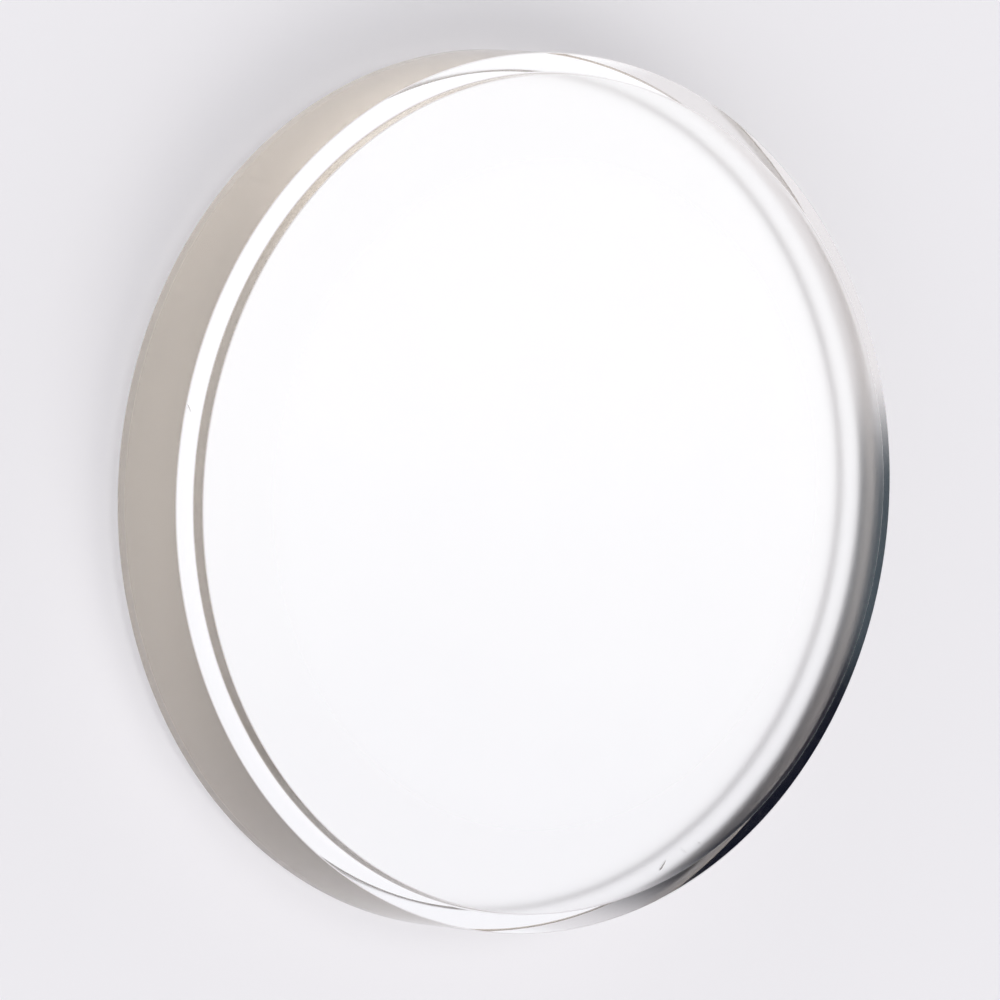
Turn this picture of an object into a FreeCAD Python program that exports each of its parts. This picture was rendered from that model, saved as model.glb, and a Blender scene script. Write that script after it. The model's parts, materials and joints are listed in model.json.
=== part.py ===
import FreeCAD, Part
import os

# Clear acrylic milling disc for dental work, turned from cast stock as one piece.
# A wide collar carries a slightly smaller raised face on each side, so a flat
# shoulder runs round both faces for the jaws of a disc holder.
# The disc lies flat: its lower face is on z = 0 and its axis is the Z axis.
# All lengths are in millimetres.

# Driving dimensions
DISC_DIAMETER = 98.0           # across the rim of the collar
COLLAR_THICKNESS = 11.3        # between the two shoulders
BOSS_HEIGHT = 1.85             # of each raised face above its shoulder
SHOULDER_WIDTH = 2.3           # flat ring between a raised face and the rim
RIM_EDGE_BREAK = 0.1           # chamfer along both edges of the rim
FACE_EDGE_BREAK = 0.1          # chamfer round each raised face
SHOULDER_CORNER_RADIUS = 0.2   # left by the tool's nose at the foot of each boss

# Sizes that follow from them
RIM_RADIUS = DISC_DIAMETER / 2
BOSS_RADIUS = RIM_RADIUS - SHOULDER_WIDTH
LOWER_FACE_Z = 0.0
LOWER_SHOULDER_Z = LOWER_FACE_Z + BOSS_HEIGHT
UPPER_SHOULDER_Z = LOWER_SHOULDER_Z + COLLAR_THICKNESS
UPPER_FACE_Z = UPPER_SHOULDER_Z + BOSS_HEIGHT

# How far an edge may lie from its nominal circle and still count as that circle
EDGE_MATCH = 1e-4

AXIS_POINT = FreeCAD.Vector(0, 0, 0)
AXIS_DIRECTION = FreeCAD.Vector(0, 0, 1)
FULL_TURN_DEGREES = 360


def section_point(radius, height):
    """A point of the half section, which lies in the XZ plane."""
    return FreeCAD.Vector(radius, 0, height)


def turned_blank():
    """The stepped disc with sharp corners: its half section turned about the axis."""
    corners = [
        section_point(0, LOWER_FACE_Z),
        section_point(BOSS_RADIUS, LOWER_FACE_Z),
        section_point(BOSS_RADIUS, LOWER_SHOULDER_Z),
        section_point(RIM_RADIUS, LOWER_SHOULDER_Z),
        section_point(RIM_RADIUS, UPPER_SHOULDER_Z),
        section_point(BOSS_RADIUS, UPPER_SHOULDER_Z),
        section_point(BOSS_RADIUS, UPPER_FACE_Z),
        section_point(0, UPPER_FACE_Z),
    ]
    outline = Part.makePolygon(corners + corners[:1])
    return Part.Face(outline).revolve(AXIS_POINT, AXIS_DIRECTION, FULL_TURN_DEGREES)


def circle_edges(solid, radius, heights):
    """The solid's round edges of one radius that lie at any of the given heights."""
    found = []
    for edge in solid.Edges:
        if not isinstance(edge.Curve, Part.Circle):
            continue
        right_size = abs(edge.Curve.Radius - radius) < EDGE_MATCH
        right_place = any(abs(edge.Curve.Center.z - height) < EDGE_MATCH for height in heights)
        if right_size and right_place:
            found.append(edge)
    if len(found) != len(heights):
        raise ValueError(f"expected {len(heights)} edges of radius {radius}, found {len(found)}")
    return found


def milling_disc():
    """The finished disc: corner radii at the bosses' feet, then every outer edge broken."""
    disc = turned_blank()
    shoulder_heights = [LOWER_SHOULDER_Z, UPPER_SHOULDER_Z]
    face_heights = [LOWER_FACE_Z, UPPER_FACE_Z]
    boss_feet = circle_edges(disc, BOSS_RADIUS, shoulder_heights)
    disc = disc.makeFillet(SHOULDER_CORNER_RADIUS, boss_feet)
    rim_edges = circle_edges(disc, RIM_RADIUS, shoulder_heights)
    disc = disc.makeChamfer(RIM_EDGE_BREAK, rim_edges)
    face_edges = circle_edges(disc, BOSS_RADIUS, face_heights)
    disc = disc.makeChamfer(FACE_EDGE_BREAK, face_edges)
    return disc.Solids[0]


os.makedirs("parts", exist_ok=True)
disc = milling_disc()
disc.exportStep("parts/milling_disc.step")
box = disc.optimalBoundingBox()
print(f"milling_disc: {box.XLength:.2f} x {box.YLength:.2f} x {box.ZLength:.2f} mm")
print(f"valid {disc.isValid()}, volume {disc.Volume / 1000:.2f} cm3")
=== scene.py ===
import json
import math

import bpy
from bpy.props import FloatProperty, FloatVectorProperty, IntProperty, PointerProperty
from mathutils import Matrix, Vector


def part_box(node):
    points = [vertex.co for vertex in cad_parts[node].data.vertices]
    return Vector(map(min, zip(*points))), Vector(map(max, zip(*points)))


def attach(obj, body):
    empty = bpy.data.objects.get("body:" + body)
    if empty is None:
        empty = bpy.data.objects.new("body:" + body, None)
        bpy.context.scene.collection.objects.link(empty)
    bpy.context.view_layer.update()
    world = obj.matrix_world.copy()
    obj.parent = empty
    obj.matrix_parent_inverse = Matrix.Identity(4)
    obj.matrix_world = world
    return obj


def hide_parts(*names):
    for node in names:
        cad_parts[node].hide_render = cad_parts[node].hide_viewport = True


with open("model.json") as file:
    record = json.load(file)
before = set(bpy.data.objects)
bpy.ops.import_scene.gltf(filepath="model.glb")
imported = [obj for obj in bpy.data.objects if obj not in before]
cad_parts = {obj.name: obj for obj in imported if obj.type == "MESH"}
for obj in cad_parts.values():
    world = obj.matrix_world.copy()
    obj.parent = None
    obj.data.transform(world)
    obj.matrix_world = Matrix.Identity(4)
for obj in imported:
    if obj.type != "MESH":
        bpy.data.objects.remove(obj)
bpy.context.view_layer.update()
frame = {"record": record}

bl_info = {
    "name": "Clear Acrylic Milling Disc",
    "version": (1, 0, 0),
    "blender": (4, 5, 0),
    "location": "3D View > Sidebar > Milling Disc",
    "description": "Models a stepped disc of clear acrylic with its finish, in a plain pale studio",
    "category": "Add Mesh",
}

# The disc's node and its places, all read from the imported frame
DISC_NODE = "milling_disc"
MM = 0.001
NODE_LOW, NODE_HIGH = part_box(DISC_NODE)
MOUNTS = {mount["name"]: mount for mount in frame["record"]["mounts"]}
RIM_RADIUS = MOUNTS["rim"]["dims"]["r_mm"] * MM
RIM_WALL = MOUNTS["rim"]["dims"]["length_mm"] * MM
LOWER_FACE_Z = NODE_LOW.z
UPPER_FACE_Z = NODE_HIGH.z
LOWER_SHOULDER_Z = MOUNTS["lower_shoulder"]["pos_m"][2]
UPPER_SHOULDER_Z = MOUNTS["upper_shoulder"]["pos_m"][2]
COLLAR = UPPER_SHOULDER_Z - LOWER_SHOULDER_Z
BOSS = UPPER_FACE_Z - UPPER_SHOULDER_Z

# How close a point must lie to a circle to count as on it, and how nearly a face must look
# straight up or down to count as flat
MATCH = 0.01 * MM
FLAT_NORMAL = 0.9

# The bevel profile of a quarter circle, the largest turn of an edge that is shaded smooth, and
# how much the large faces lead when the normals are weighted
ROUND_PROFILE = 0.5
SMOOTH_ANGLE = math.radians(30)
FACE_LEAD = 100

# Small dents of wear in the upper side, in millimetres: what each is, the X and Y of its
# middle, its length and width, the angle of its length from +X in degrees, and its depth
SHOULDER_DENTS = [
    ("nick", -5.95, -48.26, 1.0, 0.34, 37, 0.14),
]
FACE_DENTS = [
    ("chip", 40.02, 20.33, 1.4, 0.40, 148, 0.12),
    ("scuff", 38.17, 22.99, 1.1, 0.24, 66, 0.03),
    ("speck", 37.15, 25.11, 0.7, 0.24, 72, 0.02),
]

# The ball that cuts a dent: its steps round and from pole to pole, how far out along its
# length it gets slimmer, as a share of its radius, and the share of its thickness left there
BALL_AROUND = 16
BALL_RINGS = 10
SLIM_FROM = 0.1
SLIM_TO = 0.8

# The Z of a surface's normal where it stops being a flat, and where it is all wall
WALL_STARTS = 0.9
ALL_WALL = 0.5

# How far the shoulder's finish blends on each side of the raised face's edge, and how far
# inside the rim the rim's polish starts and is complete, and that of the upper face starts to
# fade and has faded
SHOULDER_BLEND = 0.1 * MM
RIM_POLISH_STARTS = 0.5 * MM
RIM_POLISH_COMPLETE = 0.3 * MM
FACE_POLISH_FADES = 15 * MM
FACE_POLISH_FADED = 10 * MM

# The turning marks: a tool leaves them about 0.1 mm apart, too fine to show, so they are drawn
# coarser. A radian of a ring crosses only a short stretch of the pattern, so they run round.
MARK_PITCH = 0.35 * MM
MARK_STRETCH = 0.4 * MM

# The size of the cloudiness in the finish, and how far it and the turning marks together make
# a wall smoother or rougher
CLOUD_SIZE = 14 * MM
WALL_SPREAD = 0.05

# The faint haze and painted shade: how much of the tint's mix is random cloudiness, where along
# +X the painted shade, a darker tint on that side, starts and is complete, as shares of the rim's
# radius, and the tint without it and with it
SHADE_AND_HAZE_CLOUD = 0.3
PAINTED_SHADE_STARTS = -0.4
PAINTED_SHADE_COMPLETE = 1.1
CLEAR_TINT = "ffffff"
SHADE_AND_HAZE_TINT = "f6f6f8"

# The depth of acrylic, in metres, that the depth tint is given for, and the share of the
# absorption's density that the strongest loss takes
TINT_DEPTH = 0.1
STRONGEST_LOSS = 0.8

# The soft light round the disc, painted from the first card to the last: what each card is,
# its azimuth and elevation, the angles from its centre where it starts and ends to fade,
# its colour and its brightness. The floor hides those below the horizon from the camera,
# but they are still seen through the clear disc.
STUDIO_BASE = ("f4f2f6", 1.0)
STUDIO_CARDS = [
    ("lit backdrop", 0, -54, 8, 18, "fafbff", 1.21),
    ("dark room", -112, -54, 24, 44, "04081a", 1.0),
    ("green grey wall", -175, -54, 8, 26, "4a545c", 1.0),
    ("grey overhead", 0, 54, 12, 34, "595a62", 1.0),
    ("lit upper wall", 62, 54, 2, 26, "fffdfa", 2.3),
    ("dark room above", -78, 54, 28, 50, "04081a", 1.0),
    ("dark wall above", -155, 53, 20, 40, "04081a", 1.0),
    ("overhead softbox", 0, 90, 12, 24, "ffffff", 1.7),
]

# The azimuth and elevation that the key light comes from, and how wide it is, in degrees
KEY_FROM = (180, 66)
KEY_WIDTH = 35

# The floor's steps round, and how far it lies under the disc, so that the two don't touch
FLOOR_AROUND = 128
FLOOR_GAP = 0.02 * MM

# How far right of the picture's middle and above it the centre of the upper shoulder lies, in
# metres at the disc
CENTRE_RIGHT = 4.20 * MM
CENTRE_UP = 0.70 * MM

# The width of the camera's sensor in millimetres, and its nearest and farthest sight in metres
SENSOR_WIDTH = 36
NEAREST = 0.05
FARTHEST = 20

# Light inside the disc is reflected many times before it leaves
BOUNCES = 32


def linear(hex_colour, brightness=1.0):
    """An sRGB hex value as linear red, green and blue, times a brightness, with alpha 1."""
    channels = []
    for start in (0, 2, 4):
        value = int(hex_colour[start:start + 2], 16) / 255
        value = value / 12.92 if value <= 0.04045 else ((value + 0.055) / 1.055) ** 2.4
        channels.append(value * brightness)
    return (*channels, 1.0)


class DiscSizes(bpy.types.PropertyGroup):
    """Sizes of the turned disc that the frame doesn't state as a mount."""
    shoulder_width: FloatProperty(
        name="Shoulder Width",
        description="Flat ring between a raised face and the rim",
        default=2.3 * MM, min=1.0 * MM, max=5.0 * MM, unit="LENGTH", precision=5)
    face_edge_break: FloatProperty(
        name="Face Edge Break",
        description="Chamfer round each raised face",
        default=0.1 * MM, min=0.05 * MM, max=0.5 * MM, unit="LENGTH", precision=5)
    corner_radius: FloatProperty(
        name="Corner Radius",
        description="Radius that the tool's nose leaves at the foot of each raised face",
        default=0.2 * MM, min=0.1 * MM, max=0.8 * MM, unit="LENGTH", precision=5)
    corner_steps: IntProperty(
        name="Corner Steps",
        description="Flats that make up each corner radius",
        default=5, min=2, max=12)
    around: IntProperty(
        name="Steps Around",
        description="Steps round the disc's rim",
        default=512, min=96, max=1024)


class AcrylicFinish(bpy.types.PropertyGroup):
    """Finish of the clear acrylic."""
    index: FloatProperty(
        name="Refractive Index",
        description="Refractive index of acrylic",
        default=1.49, min=1.3, max=1.7)
    face_roughness: FloatProperty(
        name="Face Roughness",
        description="Roughness of the finely finished faces",
        default=0.2, min=0.0, max=1.0, subtype="FACTOR")
    face_edge_roughness: FloatProperty(
        name="Face Edge Roughness",
        description="Roughness of the upper face near its edge, where the polish fades",
        default=0.3, min=0.0, max=1.0, subtype="FACTOR")
    front_shoulder_roughness: FloatProperty(
        name="Front Shoulder Roughness",
        description="Roughness of the upper shoulder, which is polished",
        default=0.05, min=0.0, max=1.0, subtype="FACTOR")
    back_shoulder_roughness: FloatProperty(
        name="Back Shoulder Roughness",
        description="Roughness of the lower shoulder, left satin by the tool",
        default=0.3, min=0.0, max=1.0, subtype="FACTOR")
    rim_roughness: FloatProperty(
        name="Rim Roughness",
        description="Roughness of the rim's polished wall",
        default=0.03, min=0.0, max=1.0, subtype="FACTOR")
    front_step_roughness: FloatProperty(
        name="Front Step Roughness",
        description="Roughness of the upper step's low wall",
        default=0.1, min=0.0, max=1.0, subtype="FACTOR")
    back_step_roughness: FloatProperty(
        name="Back Step Roughness",
        description="Roughness of the lower step's low wall, left satin by the tool",
        default=0.9, min=0.0, max=1.0, subtype="FACTOR")
    depth_tint: FloatVectorProperty(
        name="Depth Tint",
        description="Share of red, green and blue left after a tenth of a metre of acrylic",
        default=(0.80, 0.73, 0.635), min=0.01, max=1.0, size=3, subtype="COLOR")


class StudioLook(bpy.types.PropertyGroup):
    """Floor, light and camera."""
    floor_colour: FloatVectorProperty(
        name="Floor Colour",
        description="Colour of the plain pale floor",
        default=linear("eeedf0")[:3], min=0.0, max=1.0, size=3, subtype="COLOR")
    floor_radius: FloatProperty(
        name="Floor Radius",
        description="Radius of the round floor",
        default=6.0, min=1.0, max=20.0, unit="LENGTH")
    key_power: FloatProperty(
        name="Key Light",
        description="Strength of the soft key light, in watts per square metre",
        default=1.1, min=0.0, max=10.0)
    view_off_axis: FloatProperty(
        name="View Off Axis",
        description="Angle between the line of sight and the disc's axis",
        default=math.radians(36.06), min=0.0, max=math.radians(89), subtype="ANGLE")
    axis_dip: FloatProperty(
        name="Axis Dip",
        description="How far the disc's axis points below level in the picture",
        default=math.radians(5.07), min=-math.pi, max=math.pi, subtype="ANGLE")
    view_distance: FloatProperty(
        name="View Distance",
        description="Distance from the camera to the disc's upper shoulder",
        default=2.22, min=0.3, max=5.0, unit="LENGTH")
    lens: FloatProperty(
        name="Lens",
        description="Focal length in millimetres on a 36 mm wide sensor",
        default=720.0, min=20.0, max=2000.0)


def clear_selection():
    """Leaves object mode with nothing selected."""
    if bpy.context.mode != "OBJECT":
        bpy.ops.object.mode_set(mode="OBJECT")
    bpy.ops.object.select_all(action="DESELECT")


def only(piece):
    """Selects one piece and makes it active."""
    clear_selection()
    piece.select_set(True)
    bpy.context.view_layer.objects.active = piece


def pick(piece, kind, wanted):
    """In edit mode, selects just the faces or edges for which wanted(element, mesh) is true."""
    bpy.ops.mesh.select_mode(type=kind)
    bpy.ops.mesh.select_all(action="DESELECT")
    bpy.ops.object.mode_set(mode="OBJECT")
    mesh = piece.data
    elements = mesh.polygons if kind == "FACE" else mesh.edges
    chosen = [element.index for element in elements if wanted(element, mesh)]
    if not chosen:
        raise RuntimeError(f"{piece.name}: nothing to select")
    for index in chosen:
        elements[index].select = True
    bpy.ops.object.mode_set(mode="EDIT")


def on_circle(radius, height):
    """A test for edges that lie on one circle round the disc's axis."""
    def test(edge, mesh):
        ends = [mesh.vertices[index].co for index in edge.vertices]
        return all(
            abs(math.hypot(end.x, end.y) - radius) < MATCH and abs(end.z - height) < MATCH
            for end in ends)
    return test


def raise_face(piece, side, shoulder, height):
    """Insets the top (side 1) or bottom (side -1) face and pulls it out to a raised face."""
    pick(piece, "FACE", lambda face, mesh: face.normal.z * side > FLAT_NORMAL)
    bpy.ops.mesh.inset(thickness=shoulder, depth=0)
    bpy.ops.mesh.extrude_region_move(TRANSFORM_OT_translate={"value": (0, 0, side * height)})


def gouge(x, y, length, width, angle, depth, surface_z):
    """A long rounded cutter, slimmer at one end, sunk to its depth in a flat surface."""
    clear_selection()
    bpy.ops.mesh.primitive_uv_sphere_add(segments=BALL_AROUND, ring_count=BALL_RINGS, radius=1)
    cutter = bpy.context.object
    bpy.ops.object.mode_set(mode="EDIT")
    pick(cutter, "FACE", lambda face, mesh: face.center.x > SLIM_FROM)
    bpy.ops.transform.resize(value=(1.0, SLIM_TO, SLIM_TO), center_override=(0, 0, 0))
    bpy.ops.object.mode_set(mode="OBJECT")
    cutter.scale = (length / 2 * MM, width / 2 * MM, depth * MM)
    cutter.rotation_euler = (0, 0, math.radians(angle))
    cutter.location = (x * MM, y * MM, surface_z)
    bpy.ops.object.transform_apply(location=True, rotation=True, scale=True)
    return cutter


def dent(piece, dents, surface_z):
    """Cuts each dent out of a flat surface of the piece."""
    for name, *sizes in dents:
        cutter = gouge(*sizes, surface_z)
        only(piece)
        bpy.ops.object.modifier_add(type="BOOLEAN")
        cut = piece.modifiers[-1]
        cut.object = cutter
        cut.operation = "DIFFERENCE"
        cut.solver = "EXACT"
        faces_before = len(piece.data.polygons)
        bpy.ops.object.modifier_apply(modifier=cut.name)
        if len(piece.data.polygons) <= faces_before:
            raise RuntimeError(f"{piece.name}: the {name} wasn't cut")
        only(cutter)
        bpy.ops.object.delete()
    only(piece)


def stepped_disc(sizes, boss_radius):
    """The collar with its raised faces, corner radii and broken edges."""
    clear_selection()
    bpy.ops.mesh.primitive_cylinder_add(
        vertices=sizes.around, radius=RIM_RADIUS, depth=COLLAR, end_fill_type="NGON",
        location=(0, 0, (LOWER_SHOULDER_Z + UPPER_SHOULDER_Z) / 2))
    disc = bpy.context.object
    disc.name = disc.data.name = "clear_disc"
    bpy.ops.object.transform_apply(location=True, rotation=True, scale=True)
    bpy.ops.object.mode_set(mode="EDIT")
    raise_face(disc, 1, sizes.shoulder_width, BOSS)
    raise_face(disc, -1, sizes.shoulder_width, BOSS)
    for foot in (LOWER_SHOULDER_Z, UPPER_SHOULDER_Z):
        pick(disc, "EDGE", on_circle(boss_radius, foot))
        bpy.ops.mesh.bevel(
            offset=sizes.corner_radius, offset_type="OFFSET", segments=sizes.corner_steps,
            profile=ROUND_PROFILE, affect="EDGES")
    rim_break = (COLLAR - RIM_WALL) / 2
    for edge_z in (LOWER_SHOULDER_Z, UPPER_SHOULDER_Z):
        pick(disc, "EDGE", on_circle(RIM_RADIUS, edge_z))
        bpy.ops.mesh.bevel(offset=rim_break, offset_type="OFFSET", segments=1, affect="EDGES")
    for edge_z in (LOWER_FACE_Z, UPPER_FACE_Z):
        pick(disc, "EDGE", on_circle(boss_radius, edge_z))
        bpy.ops.mesh.bevel(
            offset=sizes.face_edge_break, offset_type="OFFSET", segments=1, affect="EDGES")
    # The two raised faces are single polygons up to here, and become fans of triangles
    pick(disc, "FACE", lambda face, mesh: len(face.vertices) > 4)
    bpy.ops.mesh.poke()
    bpy.ops.mesh.select_all(action="SELECT")
    bpy.ops.mesh.normals_make_consistent(inside=False)
    bpy.ops.object.mode_set(mode="OBJECT")
    return disc


def shade(piece):
    """Shades the active piece's small edges round, and keeps its large faces flat."""
    bpy.ops.object.shade_smooth_by_angle(angle=SMOOTH_ANGLE)
    bpy.ops.object.modifier_add(type="WEIGHTED_NORMAL")
    weighted = piece.modifiers[-1]
    weighted.keep_sharp = True
    weighted.weight = FACE_LEAD
    bpy.ops.object.modifier_apply(modifier=weighted.name)


def add_node(tree, kind, inputs=None, **settings):
    """Adds a node, sets its properties, and links or fills its inputs."""
    node = tree.nodes.new(kind)
    for name, value in settings.items():
        setattr(node, name, value)
    for socket, value in (inputs or {}).items():
        if isinstance(value, bpy.types.NodeSocket):
            tree.links.new(value, node.inputs[socket])
        else:
            node.inputs[socket].default_value = value
    return node


def empty_tree(owner):
    """The owner's node tree with every node removed."""
    owner.use_nodes = True
    owner.node_tree.nodes.clear()
    return owner.node_tree


def finish_zones(tree, place, radius, boss_radius):
    """Where each finish lies: a zone is 0 up to its first value, and 1 from its second."""
    geometry = add_node(tree, "ShaderNodeNewGeometry")
    normal = add_node(tree, "ShaderNodeSeparateXYZ", {"Vector": geometry.outputs["True Normal"]})
    upright = add_node(tree, "ShaderNodeMath", {0: normal.outputs["Z"]}, operation="ABSOLUTE")
    zones = {}
    for name, follows, start, end in [
            ("wall", upright.outputs[0], WALL_STARTS, ALL_WALL),
            ("shoulder", radius, boss_radius - SHOULDER_BLEND, boss_radius + SHOULDER_BLEND),
            ("rim", radius, RIM_RADIUS - RIM_POLISH_STARTS, RIM_RADIUS - RIM_POLISH_COMPLETE),
            ("front", place["Z"], LOWER_SHOULDER_Z, UPPER_SHOULDER_Z),
            ("outer part", radius, RIM_RADIUS - FACE_POLISH_FADES, RIM_RADIUS - FACE_POLISH_FADED),
            # Painted shade: this zone makes the disc's tint darker towards +X
            ("painted shade side", place["X"], PAINTED_SHADE_STARTS * RIM_RADIUS, PAINTED_SHADE_COMPLETE * RIM_RADIUS)]:
        zone = add_node(tree, "ShaderNodeMapRange", {
            "Value": follows, "From Min": start, "From Max": end},
            interpolation_type="SMOOTHSTEP", label=name)
        zones[name] = zone.outputs["Result"]
    front_edge = add_node(tree, "ShaderNodeMath", {
        0: zones["outer part"], 1: zones["front"]}, operation="MULTIPLY")
    zones["outer part of the front"] = front_edge.outputs[0]
    return zones


def zone_roughness(tree, zones, look):
    """The roughness of the flats and that of the walls, each mixed from one zone to the next."""
    rough = {
        "face": look.face_roughness,
        "face edge": look.face_edge_roughness,
        "front shoulder": look.front_shoulder_roughness,
        "back shoulder": look.back_shoulder_roughness,
        "front step": look.front_step_roughness,
        "back step": look.back_step_roughness,
        "rim": look.rim_roughness,
    }
    for name, zone, outside, inside in [
            ("shoulders", "front", "back shoulder", "front shoulder"),
            ("faces", "outer part of the front", "face", "face edge"),
            ("flats", "shoulder", "faces", "shoulders"),
            ("steps", "front", "back step", "front step"),
            ("walls", "rim", "steps", "rim")]:
        mixed = add_node(tree, "ShaderNodeMix", {
            0: zones[zone], 2: rough[outside], 3: rough[inside]}, data_type="FLOAT", label=name)
        rough[name] = mixed.outputs[0]
    return rough["flats"], rough["walls"]


def turning_marks(tree, place, radius, wall):
    """Fine rings that the tool leaves: along the height on walls, and along the radius on flats."""
    across = add_node(tree, "ShaderNodeMix", {0: wall, 2: radius, 3: place["Z"]}, data_type="FLOAT")
    turn = add_node(tree, "ShaderNodeMath", {0: place["Y"], 1: place["X"]}, operation="ARCTAN2")
    along = add_node(tree, "ShaderNodeMath", {
        0: turn.outputs[0], 1: MARK_STRETCH}, operation="MULTIPLY")
    ring = add_node(tree, "ShaderNodeCombineXYZ", {"X": across.outputs[0], "Y": along.outputs[0]})
    marks = add_node(tree, "ShaderNodeTexNoise", {
        "Vector": ring.outputs["Vector"], "Scale": 1 / MARK_PITCH,
        "Detail": 3.0, "Roughness": 0.6})
    return marks.outputs["Fac"]


def clear_cast_acrylic(look, boss_radius):
    """Clear acrylic, cast and then turned, with the finish of each of its surfaces."""
    # It gives the eye a clear block: finely finished faces that soften what lies behind them, a
    # crisp polished rim and upper shoulder, a satin lower step and shoulder that show through
    # as soft lines, and a warm grey where light comes from deep inside
    material = bpy.data.materials.new("clear_cast_acrylic")
    tree = empty_tree(material)
    point = add_node(tree, "ShaderNodeTexCoord").outputs["Object"]
    place = add_node(tree, "ShaderNodeSeparateXYZ", {"Vector": point}).outputs
    flat = add_node(tree, "ShaderNodeCombineXYZ", {"X": place["X"], "Y": place["Y"]})
    radius = add_node(tree, "ShaderNodeVectorMath", {
        0: flat.outputs["Vector"]}, operation="LENGTH").outputs["Value"]
    zones = finish_zones(tree, place, radius, boss_radius)
    flats, walls = zone_roughness(tree, zones, look)
    cloud = add_node(tree, "ShaderNodeTexNoise", {
        "Vector": point, "Scale": 1 / CLOUD_SIZE, "Detail": 2.0, "Roughness": 0.5}).outputs["Fac"]
    marks = turning_marks(tree, place, radius, zones["wall"])
    uneven = add_node(tree, "ShaderNodeMath", {0: cloud, 1: marks}, operation="ADD")
    smoothest = add_node(tree, "ShaderNodeMath", {0: walls, 1: WALL_SPREAD}, operation="SUBTRACT")
    marked_walls = add_node(tree, "ShaderNodeMath", {
        0: uneven.outputs[0], 1: WALL_SPREAD, 2: smoothest.outputs[0]}, operation="MULTIPLY_ADD")
    roughness = add_node(tree, "ShaderNodeMix", {
        0: zones["wall"], 2: flats, 3: marked_walls.outputs[0]}, data_type="FLOAT")
    # Painted shade mixed with random haze: the tint darkens towards +X, and where the cloudiness is
    # strong
    haze_and_shade = add_node(tree, "ShaderNodeMath", {
        0: cloud, 1: SHADE_AND_HAZE_CLOUD, 2: zones["painted shade side"]}, operation="MULTIPLY_ADD")
    tint = add_node(tree, "ShaderNodeMix", {
        0: haze_and_shade.outputs[0], 6: linear(CLEAR_TINT), 7: linear(SHADE_AND_HAZE_TINT)}, data_type="RGBA")
    shader = add_node(tree, "ShaderNodeBsdfPrincipled", {
        "Base Color": tint.outputs[2], "Roughness": roughness.outputs[0],
        "IOR": look.index, "Transmission Weight": 1.0})
    # Absorption per metre that leaves the stated share of each colour after the tint's depth
    losses = [-math.log(share) / TINT_DEPTH for share in look.depth_tint]
    density = max(losses) / STRONGEST_LOSS
    absorb = add_node(tree, "ShaderNodeVolumeAbsorption", {
        "Color": (*[1 - loss / density for loss in losses], 1), "Density": density})
    add_node(tree, "ShaderNodeOutputMaterial", {
        "Surface": shader.outputs["BSDF"], "Volume": absorb.outputs["Volume"]})
    return material


class MILLINGDISC_OT_turned_disc(bpy.types.Operator):
    """Model the stepped disc with its small dents, and give it its clear acrylic"""
    bl_idname = "millingdisc.turned_disc"
    bl_label = "Turned Disc"

    def execute(self, context):
        sizes = context.scene.disc_sizes
        boss_radius = RIM_RADIUS - sizes.shoulder_width
        disc = stepped_disc(sizes, boss_radius)
        dent(disc, SHOULDER_DENTS, UPPER_SHOULDER_Z)
        dent(disc, FACE_DENTS, UPPER_FACE_Z)
        shade(disc)
        disc.data.materials.clear()
        disc.data.materials.append(clear_cast_acrylic(context.scene.acrylic_finish, boss_radius))
        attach(disc, "root")
        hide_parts(DISC_NODE)
        return {"FINISHED"}


def direction(azimuth, elevation):
    """A unit vector from degrees: azimuth 0 is away from the camera, and 90 is along +X."""
    around = math.radians(azimuth)
    above = math.radians(elevation)
    return Vector((
        math.sin(around) * math.cos(above), math.cos(around) * math.cos(above), math.sin(above)))


def card_on(tree, below, ray, card):
    """Lays one soft round card over the light below it, and returns the result."""
    name, azimuth, elevation, core, edge, colour, brightness = card
    facing = add_node(tree, "ShaderNodeVectorMath", {
        0: ray, 1: direction(azimuth, elevation)}, operation="DOT_PRODUCT")
    cover = add_node(tree, "ShaderNodeMapRange", {
        "Value": facing.outputs["Value"], "From Min": math.cos(math.radians(edge)),
        "From Max": math.cos(math.radians(core))}, interpolation_type="SMOOTHSTEP")
    mixed = add_node(tree, "ShaderNodeMix", {
        0: cover.outputs["Result"], 6: below, 7: linear(colour, brightness)},
        data_type="RGBA", label=name)
    return mixed.outputs[2]


def studio_light(scene):
    """A world of soft light: pale all round, with the cards over it."""
    world = bpy.data.worlds.new("soft_studio")
    scene.world = world
    tree = empty_tree(world)
    ray = add_node(tree, "ShaderNodeTexCoord").outputs["Generated"]
    base = add_node(tree, "ShaderNodeRGB")
    base.outputs[0].default_value = linear(*STUDIO_BASE)
    light = base.outputs[0]
    for card in STUDIO_CARDS:
        light = card_on(tree, light, ray, card)
    background = add_node(tree, "ShaderNodeBackground", {"Color": light})
    add_node(tree, "ShaderNodeOutputWorld", {"Surface": background.outputs["Background"]})


def key_light(look):
    """A large soft light from behind the camera, for the floor alone."""
    clear_selection()
    bpy.ops.object.light_add(type="SUN", location=(0, 0, 1))
    key = bpy.context.object
    key.name = "soft_key"
    key.data.energy = look.key_power
    key.data.angle = math.radians(KEY_WIDTH)
    key.rotation_euler = direction(*KEY_FROM).to_track_quat("Z", "Y").to_euler()
    # The disc's own light is that of the cards, and so clear a disc casts hardly any shadow
    key.visible_glossy = False
    key.visible_transmission = False
    key.data.use_shadow = False


def white_matt_board(look):
    """Smooth board with a matt white coat."""
    # It gives the eye a plain pale ground with almost no shine
    material = bpy.data.materials.new("white_matt_board")
    tree = empty_tree(material)
    shader = add_node(tree, "ShaderNodeBsdfPrincipled", {
        "Base Color": (*look.floor_colour, 1), "Roughness": 0.7, "Specular IOR Level": 0.1})
    add_node(tree, "ShaderNodeOutputMaterial", {"Surface": shader.outputs["BSDF"]})
    return material


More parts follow.
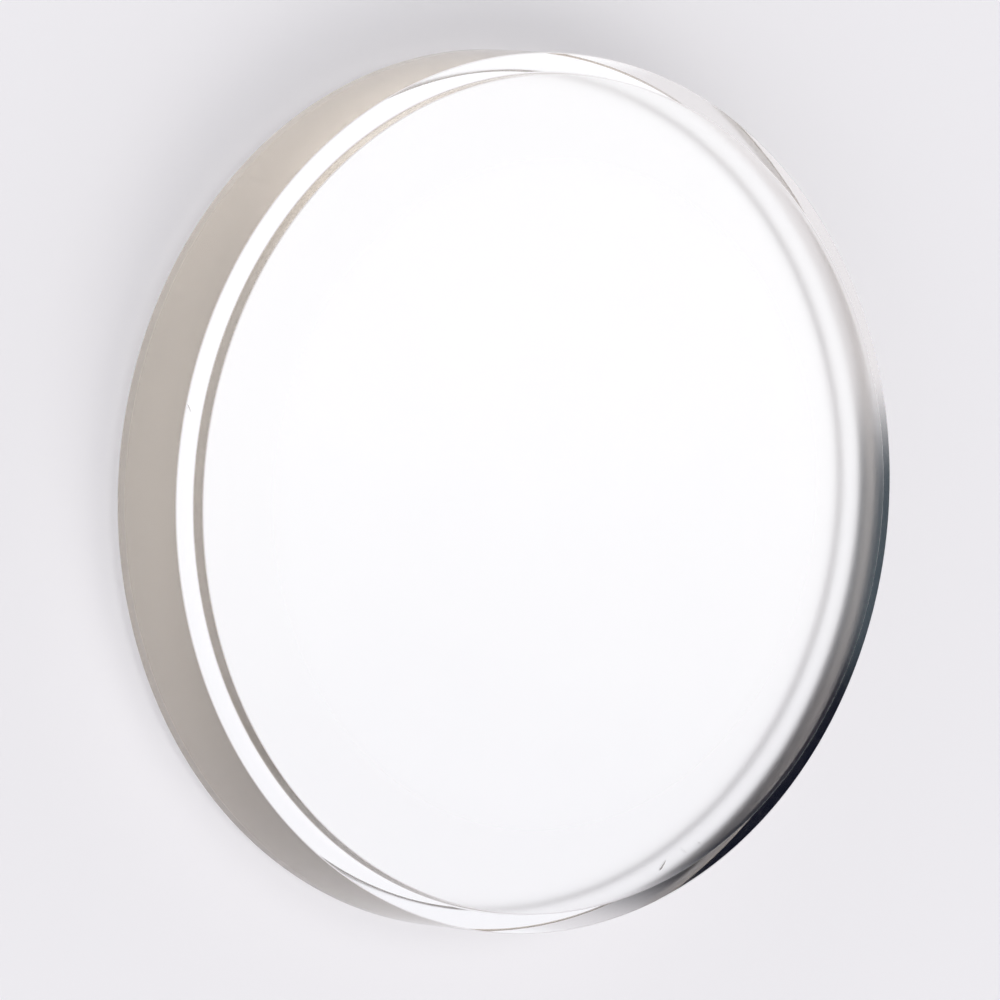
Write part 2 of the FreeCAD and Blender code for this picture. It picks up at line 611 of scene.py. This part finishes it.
def pale_floor(look):
    """A wide round floor of matt white board just under the disc."""
    clear_selection()
    bpy.ops.mesh.primitive_circle_add(
        vertices=FLOOR_AROUND, radius=look.floor_radius, fill_type="NGON",
        location=(0, 0, LOWER_FACE_Z - FLOOR_GAP))
    floor = bpy.context.object
    floor.name = "pale_floor"
    floor.data.materials.append(white_matt_board(look))
    # The disc shows the studio behind it, and not the floor that it lies on
    floor.visible_transmission = False


def product_camera(scene, look):
    """A long lens off the disc's axis, rolled so that the near rim is on the left."""
    sight = Vector((0, math.sin(look.view_off_axis), -math.cos(look.view_off_axis)))
    axis = Vector((0, 0, 1))
    across = sight.cross(axis).normalized()
    axis_in_picture = across.cross(sight).normalized()
    dip = look.axis_dip
    right = axis_in_picture * math.cos(dip) - across * math.sin(dip)
    up = right.cross(sight)
    centre = Vector((0, 0, UPPER_SHOULDER_Z))
    place = centre - right * CENTRE_RIGHT - up * CENTRE_UP - sight * look.view_distance
    camera = bpy.data.objects.new("product_camera", bpy.data.cameras.new("product_camera"))
    scene.collection.objects.link(camera)
    camera.matrix_world = Matrix((
        (right.x, up.x, -sight.x, place.x),
        (right.y, up.y, -sight.y, place.y),
        (right.z, up.z, -sight.z, place.z),
        (0, 0, 0, 1)))
    camera.data.lens = look.lens
    camera.data.sensor_width = SENSOR_WIDTH
    camera.data.clip_start = NEAREST
    camera.data.clip_end = FARTHEST
    scene.camera = camera


class MILLINGDISC_OT_studio(bpy.types.Operator):
    """Set up the pale floor, the soft light and the camera"""
    bl_idname = "millingdisc.studio"
    bl_label = "Studio"

    def execute(self, context):
        scene = context.scene
        look = scene.studio_look
        studio_light(scene)
        key_light(look)
        pale_floor(look)
        product_camera(scene, look)
        scene.view_settings.view_transform = "Standard"
        scene.cycles.max_bounces = BOUNCES
        scene.cycles.glossy_bounces = BOUNCES
        scene.cycles.transmission_bounces = BOUNCES
        return {"FINISHED"}


class MILLINGDISC_PT_panel(bpy.types.Panel):
    """Lists the disc's operators and their settings"""
    bl_idname = "MILLINGDISC_PT_panel"
    bl_label = "Milling Disc"
    bl_space_type = "VIEW_3D"
    bl_region_type = "UI"
    bl_category = "Milling Disc"

    def draw(self, context):
        for operator, groups in PANEL_ROWS:
            box = self.layout.box()
            box.operator(operator)
            for group in groups:
                settings = getattr(context.scene, group)
                for name in settings.__annotations__:
                    box.prop(settings, name)


# Each operator in the panel, with the groups of its settings
PANEL_ROWS = [
    ("millingdisc.turned_disc", ("disc_sizes", "acrylic_finish")),
    ("millingdisc.studio", ("studio_look",)),
]
GROUPS = {"disc_sizes": DiscSizes, "acrylic_finish": AcrylicFinish, "studio_look": StudioLook}
CLASSES = [
    *GROUPS.values(),
    MILLINGDISC_OT_turned_disc,
    MILLINGDISC_OT_studio,
    MILLINGDISC_PT_panel,
]


def register():
    for one in CLASSES:
        bpy.utils.register_class(one)
    for name, group in GROUPS.items():
        setattr(bpy.types.Scene, name, PointerProperty(type=group))


def unregister():
    for name in GROUPS:
        delattr(bpy.types.Scene, name)
    for one in reversed(CLASSES):
        bpy.utils.unregister_class(one)


def main():
    register()
    bpy.ops.millingdisc.turned_disc()
    bpy.ops.millingdisc.studio()


if __name__ == "__main__":
    main()
